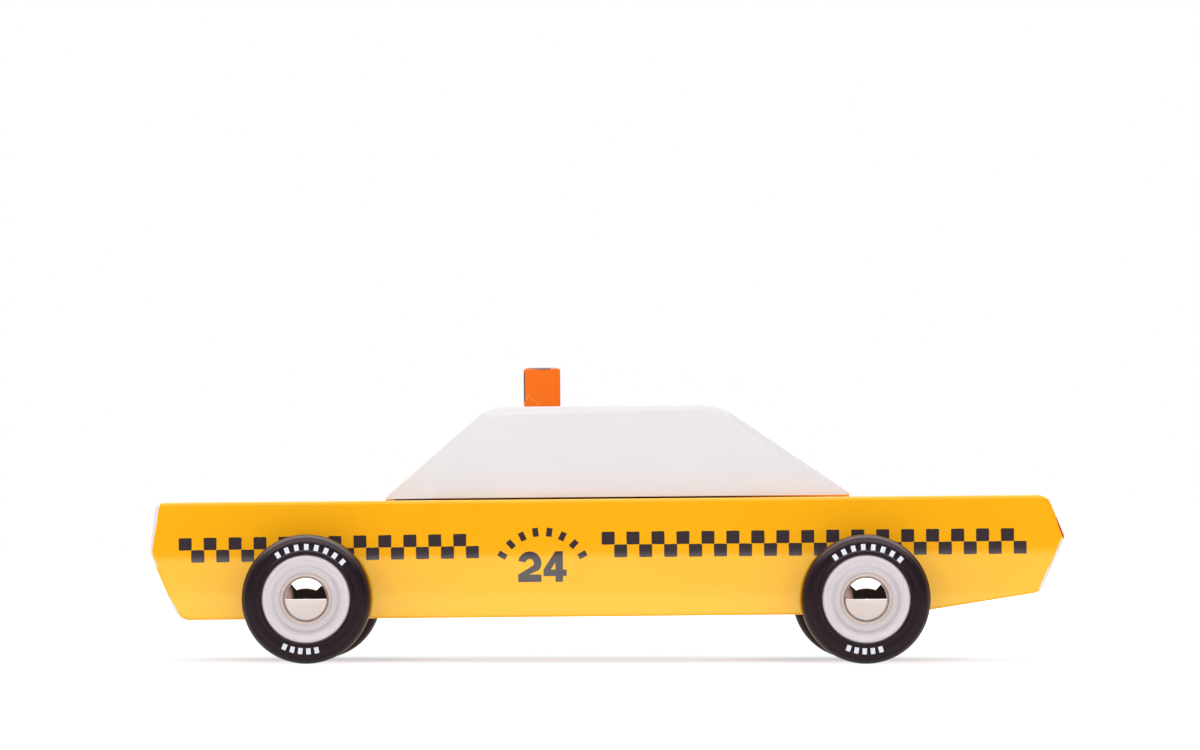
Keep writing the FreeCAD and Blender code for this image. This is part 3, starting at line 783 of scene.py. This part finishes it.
BOW_CENTRE_HEIGHT, BOW_RADIUS, BOW_START, BOW_END = 17.15 * MM, 9.2 * MM, -60, 60.5
BAR_HEIGHT, BAR_WIDTH, BAR_COUNT = 1.75 * MM, 1.15 * MM, 8
bar_turns = np.radians(np.linspace(BOW_START, BOW_END, BAR_COUNT))
bar_corner = np.array([[(-1, -1), (1, -1)], [(-1, 1), (1, 1)]]) * (BAR_WIDTH / 2, BAR_HEIGHT / 2)
cos, sin = np.cos(bar_turns)[:, None, None], np.sin(bar_turns)[:, None, None]
bar_out = bar_corner[..., 1] + BOW_RADIUS
bars = np.stack([bar_corner[..., 0] * cos + bar_out * sin,
                 bar_out * cos - bar_corner[..., 0] * sin], -1)
for side, side_name in SIDES:
    # The number reads from the nose end on the left side and from the tail end on the right.
    reads = np.array([-side, 1])
    strokes = [ribbon - (DIGIT_WIDTH + DIGIT_GAP / 2, 0) for ribbon in digit_two()]
    strokes += [ribbon + (DIGIT_GAP / 2, 0) for ribbon in digit_four()]
    places, out = on_side(np.stack(strokes) * reads + (NUMBER_MIDDLE, NUMBER_FOOT), side)
    number = film("door_number_" + side_name, places, out, ink)
    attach(number, "car")
    places, out = on_side(bars * reads + (NUMBER_MIDDLE, BOW_CENTRE_HEIGHT), side)
    bow = film("bow_of_bars_" + side_name, places, out, ink)
    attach(bow, "car")


# Nose and tail colours: white lacquer brushed over both nose facets and the tail's lower facet,
# and a red band for the tail lamps. The paint laps unevenly round the sanded edges.

# The first point of each corner, counted along the body's outline
TAIL_BOTTOM, TAIL_POINT, NOSE_TOP, NOSE_POINT, NOSE_FOOT = (
    corner * CORNER_STEPS for corner in (2, 3, 5, 6, 7))
red_lacquer = lacquer("red_lacquer_on_beech", "#D8232A")
nose_laps = [(NOSE_TOP + 3.0, 0.3), (NOSE_TOP + 5.0, 0.62), (NOSE_TOP + 8.3, 0.68),
             (NOSE_TOP + 8.8, 0.45), (NOSE_POINT + 4.0, 0.4), (NOSE_POINT + 8.5, 0.48),
             (NOSE_FOOT + 2.0, 0.36), (NOSE_FOOT + 5.0, 0.14)]
nose_paint = coat("white_nose_paint", body_outline, HALF_BODY, body_profile, nose_laps, white_lacquer)
tail_laps = [(TAIL_BOTTOM + 4.0, 0.35), (TAIL_BOTTOM + 8.2, 0.6), (TAIL_BOTTOM + 8.8, 0.46),
             (TAIL_POINT + 2.0, 0.22)]
tail_paint = coat("white_tail_paint", body_outline, HALF_BODY, body_profile, tail_laps, white_lacquer)
lamp_laps = [(TAIL_POINT + 2.0, 0.2), (TAIL_POINT + 6.0, 0.36), (TAIL_POINT + 8.25, 0.34),
             (TAIL_POINT + 8.55, 0.15)]
coat("red_tail_band", body_outline, HALF_BODY, body_profile, lamp_laps, red_lacquer)


# Wheels: a moulded hub in off-white plastic with a rolled rim and a raised disc, a black rubber
# tyre pushed over it, and a steel pin with a domed cap pressed on each end.
ROUND_STEPS = 128
POLE = 1e-9


def turned(name, corners, radii, centre, side, material, open_ends=False, steps=7):
    """A surface of revolution about the axle. The outline is radius and distance out from the
    car's middle, and a point at radius r and turn t lies r cos t along and r sin t up. An outline
    with open ends starts and stops on the axle, where the points of a round merge into one."""
    ring, out = rounded_outline(np.array(corners) * MM, np.array(radii) * MM, steps)
    if open_ends:
        on_axle = ring[:, 0] < POLE
        out[on_axle] = np.stack([np.zeros(on_axle.sum()), np.sign(
            ring[on_axle, 1] - ring[:, 1].mean())], -1)
    turn = np.linspace(0, 2 * math.pi, ROUND_STEPS, endpoint=False)[:, None]
    points = np.stack(np.broadcast_arrays(
        centre[0] + ring[:, 0] * np.cos(turn), side * ring[:, 1],
        centre[1] + ring[:, 0] * np.sin(turn)), -1)
    ways = np.stack(np.broadcast_arrays(
        out[:, 0] * np.cos(turn), side * out[:, 1], out[:, 0] * np.sin(turn)), -1)
    points, ways = points.reshape(-1, 3), ways.reshape(-1, 3)
    quads = grid_quads(ROUND_STEPS, len(ring), wrap_rows=True, wrap_columns=not open_ends)
    quads = facing_out(points, ways, quads)
    mesh = bpy.data.meshes.new(name)
    mesh.from_pydata(points, [], quads)
    radius = mesh.attributes.new("radius_mm", "FLOAT", "POINT")
    radius.data.foreach_set("value", np.tile(ring[:, 0] / MM, ROUND_STEPS))
    if open_ends:
        keep_ways(mesh, ways)
        work = bmesh.new()
        work.from_mesh(mesh)
        bmesh.ops.remove_doubles(work, verts=work.verts, dist=TOUCHING)
        work.to_mesh(mesh)
        work.free()
        ways = take_ways(mesh)
    mesh.shade_smooth()
    mesh.normals_split_custom_set_from_vertices(ways)
    return put_in_scene(name, mesh, material)


def hub_plastic():
    """Moulded off-white ABS. The eye gets a soft satin sheen and a faint warmth, with no grain. The
    disc inside the rim is darker with painted shade in its dish, and the collar round the cap is
    painted tan for the shade in the gap round the cap. The radius about the axle picks them out."""
    material, tree = new_material("off_white_abs")
    tone = mottled(tree, 3 * MM, 2.0, "#D8CED2", "#DDD4D8")
    radius = add(tree, "ShaderNodeAttribute", attribute_name="radius_mm")
    # Painted shade: the dish inside the rim is darker.
    dish_shade = add(tree, "ShaderNodeMapRange", {
        "Value": radius.outputs["Fac"], "From Min": 7.6, "From Max": 6.4})
    dish_shade = add(tree, "ShaderNodeMix", {
        0: dish_shade, 6: tone, 7: linear("#CCC4C8")}, data_type="RGBA")
    # Painted shade: the collar round the cap is tan for the shade in the gap there.
    outside = add(tree, "ShaderNodeMapRange", {
        "Value": radius.outputs["Fac"], "From Min": 5.0, "From Max": 5.2})
    colour = add(tree, "ShaderNodeMix", {
        0: outside, 6: linear("#D2C0B8"), 7: dish_shade.outputs[2]}, data_type="RGBA")
    surface = add(tree, "ShaderNodeBsdfPrincipled", {
        "Base Color": colour.outputs[2], "Roughness": 0.3, "IOR": 1.52,
        "Subsurface Weight": 0.12, "Subsurface Radius": (0.6 * MM, 0.4 * MM, 0.35 * MM),
        "Subsurface Scale": 1.0})
    return shown(material, surface)


def tyre_rubber():
    """Moulded black rubber. The eye gets a warm black with a broad, dull shine on its shoulder and
    a few specks of dust."""
    material, tree = new_material("black_moulded_rubber")
    place = add(tree, "ShaderNodeTexCoord")
    skin = add(tree, "ShaderNodeTexNoise", {
        "Vector": place.outputs["Object"], "Scale": 1 / (0.25 * MM)})
    bump = add(tree, "ShaderNodeBump", {"Height": skin, "Strength": 0.25, "Distance": 0.01 * MM})
    tone = mottled(tree, 0.35 * MM, 1.0, "#1A1017", "#26171E")
    tone.color_ramp.elements[0].position = 0.66
    tone.color_ramp.elements[1].position = 0.74
    surface = add(tree, "ShaderNodeBsdfPrincipled", {
        "Base Color": tone, "Normal": bump, "Roughness": 0.33, "IOR": 1.42,
        "Specular Tint": linear("#FFE6E8")})
    return shown(material, surface)


def plated_steel():
    """Nickel-plated pressed steel. The eye gets a warm mirror with fine scuffs."""
    material, tree = new_material("nickel_plated_steel")
    place = add(tree, "ShaderNodeTexCoord")
    scuffs = add(tree, "ShaderNodeTexNoise", {
        "Vector": place.outputs["Object"], "Scale": 1 / (0.8 * MM), "Detail": 4.0})
    rough = add(tree, "ShaderNodeMapRange", {
        "Value": scuffs, "From Min": 0.35, "From Max": 0.75, "To Min": 0.03, "To Max": 0.09})
    surface = add(tree, "ShaderNodeBsdfPrincipled", {
        "Base Color": linear("#F8EBE8"), "Metallic": 1.0, "Roughness": rough})
    return shown(material, surface)


def drawn_steel():
    """Bright drawn steel wire, cut for the pins. The eye gets a grey satin with lines round it."""
    material, tree = new_material("drawn_steel")
    place = add(tree, "ShaderNodeTexCoord")
    across = add(tree, "ShaderNodeMapping", {
        "Vector": place.outputs["Object"], "Scale": (1 / (2 * MM), 1 / (0.08 * MM), 1 / (2 * MM))})
    lines = add(tree, "ShaderNodeTexNoise", {"Vector": across, "Scale": 1.0})
    rough = add(tree, "ShaderNodeMapRange", {"Value": lines, "To Min": 0.22, "To Max": 0.42})
    surface = add(tree, "ShaderNodeBsdfPrincipled", {
        "Base Color": linear("#C4C2C2"), "Metallic": 1.0, "Roughness": rough})
    return shown(material, surface)


def white_tyre_ink():
    """White rubber ink, pad printed. The eye gets a flat, slightly blue white."""
    material, tree = new_material("white_rubber_ink")
    tone = mottled(tree, 0.3 * MM, 3.0, "#D5D8E6", "#E6E8F2")
    surface = add(tree, "ShaderNodeBsdfPrincipled", {"Base Color": tone, "Roughness": 0.6})
    return shown(material, surface)


# Radius and distance out from the car's middle, in millimetres, and each corner's rounding
HUB_OUTLINE = [(1.56, 28.3), (3.4, 28.3), (3.4, 29.2), (8.8, 29.2), (8.8, 37.2), (7.95, 37.2),
               (7.15, 36.6), (6.2, 37.6), (5.15, 37.6), (5.15, 37.25), (4.45, 37.25), (4.45, 36.8),
               (1.56, 36.8)]
HUB_ROUNDING = [0.1, 0.3, 0.3, 0.2, 0.4, 0.7, 0.75, 0.6, 0.3, 0.05, 0.25, 0.1, 0.1]
TYRE_OUTLINE = [(8.82, 29.2), (12.85, 29.2), (12.85, 37.4), (9.75, 37.4), (9.45, 37.62),
                (8.82, 37.62)]
TYRE_ROUNDING = [0.2, 2.3, 2.4, 0.25, 0.2, 0.3]
MOULD_LINE_OUTLINE = [(11.93, 36.2), (12.09, 36.2), (12.09, 36.88), (11.93, 36.88)]
MOULD_LINE_ROUNDING = [0.05] * 4
CAP_FOOT, CAP_SKIRT_TOP, CAP_CROWN, CAP_RADIUS = 37.1, 37.65, 39.5, 4.25
PIN_RADIUS, PIN_END = 1.5, 38.7
PIN_OUTLINE = [(0, -PIN_END), (PIN_RADIUS, -PIN_END), (PIN_RADIUS, PIN_END), (0, PIN_END)]
PIN_ROUNDING = [0, 0.2, 0.2, 0]

# The cap's dome is an arc over a short skirt. Its two tangents meet over it, at the ball's radius
# times the tangent of half the turn from the dome's edge to its crown.
rise = CAP_CROWN - CAP_SKIRT_TOP
ball = (CAP_RADIUS ** 2 + rise ** 2) / (2 * rise)
dome_turn = math.asin(CAP_RADIUS / ball)
CAP_OUTLINE = [(0, CAP_FOOT), (CAP_RADIUS, CAP_FOOT), (CAP_RADIUS, CAP_SKIRT_TOP),
               (ball * math.tan(dome_turn / 2), CAP_CROWN), (0, CAP_CROWN)]
CAP_ROUNDING = [0, 0.05, 0.12, 0.97 * ball, 0]

abs_white, rubber, nickel, steel = hub_plastic(), tyre_rubber(), plated_steel(), drawn_steel()
tyre_ink = white_tyre_ink()
MARK_INNER, MARK_OUTER, MARK_WIDTH = 9.65 * MM, 10.95 * MM, 0.9 * MM
MARK_LIFT, MARK_DEPTH = 0.015 * MM, 0.03 * MM
SIDEWALL, SHOULDER_START, SHOULDER = 37.4 * MM, 10.45 * MM, 2.4 * MM
# Degrees round from the top of the tyre
marks_at = np.radians(np.concatenate([np.linspace(-38.5, 38.5, 8), np.linspace(162, 198, 5)]))


def tyre_marks(name, centre, side, start_turn, material):
    """Short white bars round the sidewall, eight at the top and five at the foot. Each is a grid
    over radius and turn. Past the shoulder's start it lies out from the shoulder's centre by the
    root of SHOULDER squared less past squared, as the tyre does."""
    radius = np.linspace(MARK_INNER, MARK_OUTER, 8)[:, None]
    across = np.linspace(-MARK_WIDTH / 2, MARK_WIDTH / 2, 4)
    turn = math.pi / 2 + start_turn + side * marks_at[:, None, None] + across / radius
    past = np.maximum(radius - SHOULDER_START, 0) + 0 * turn
    depth = SIDEWALL - SHOULDER + np.sqrt(SHOULDER ** 2 - past ** 2)
    places = np.stack([centre[0] + radius * np.cos(turn), side * depth,
                       centre[1] + radius * np.sin(turn)], -1)
    tilt = past / SHOULDER
    ways = np.stack([tilt * np.cos(turn), side * np.sqrt(1 - tilt ** 2), tilt * np.sin(turn)], -1)
    return film(name, places, ways, material, MARK_LIFT, MARK_DEPTH)


for end, start_turn in (("front", math.radians(-6)), ("rear", math.radians(-2))):
    low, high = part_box("axle_" + end)
    centre = ((low.x + high.x) / 2, (low.z + high.z) / 2)
    pin = turned("steel_pin_" + end, PIN_OUTLINE, PIN_ROUNDING, centre, 1, steel, open_ends=True)
    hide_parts("axle_" + end)
    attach(pin, "car")
    for side, side_name in SIDES:
        corner = "%s_%s" % (end, side_name)
        wheel = "wheel_" + corner
        hub = turned("moulded_hub_" + corner, HUB_OUTLINE, HUB_ROUNDING, centre, side, abs_white)
        tyre = turned("rubber_tyre_" + corner, TYRE_OUTLINE, TYRE_ROUNDING, centre, side, rubber,
                      steps=14)
        cap = turned("domed_cap_" + corner, CAP_OUTLINE, CAP_ROUNDING, centre, side, nickel,
                     open_ends=True, steps=24)
        line = turned("mould_line_" + corner, MOULD_LINE_OUTLINE, MOULD_LINE_ROUNDING,
                      centre, side, rubber)
        marks = tyre_marks("tyre_marks_" + corner, centre, side, start_turn, tyre_ink)
        for piece, node, slot_name in ((hub, "hub_", "hub_plastic"), (tyre, "tyre_", "tyre_rubber"),
                                       (cap, "cap_", "bright_cap")):
            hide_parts(node + corner)
        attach(cap, "car")
        for piece in (hub, tyre, line, marks):
            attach(piece, wheel)


low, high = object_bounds()
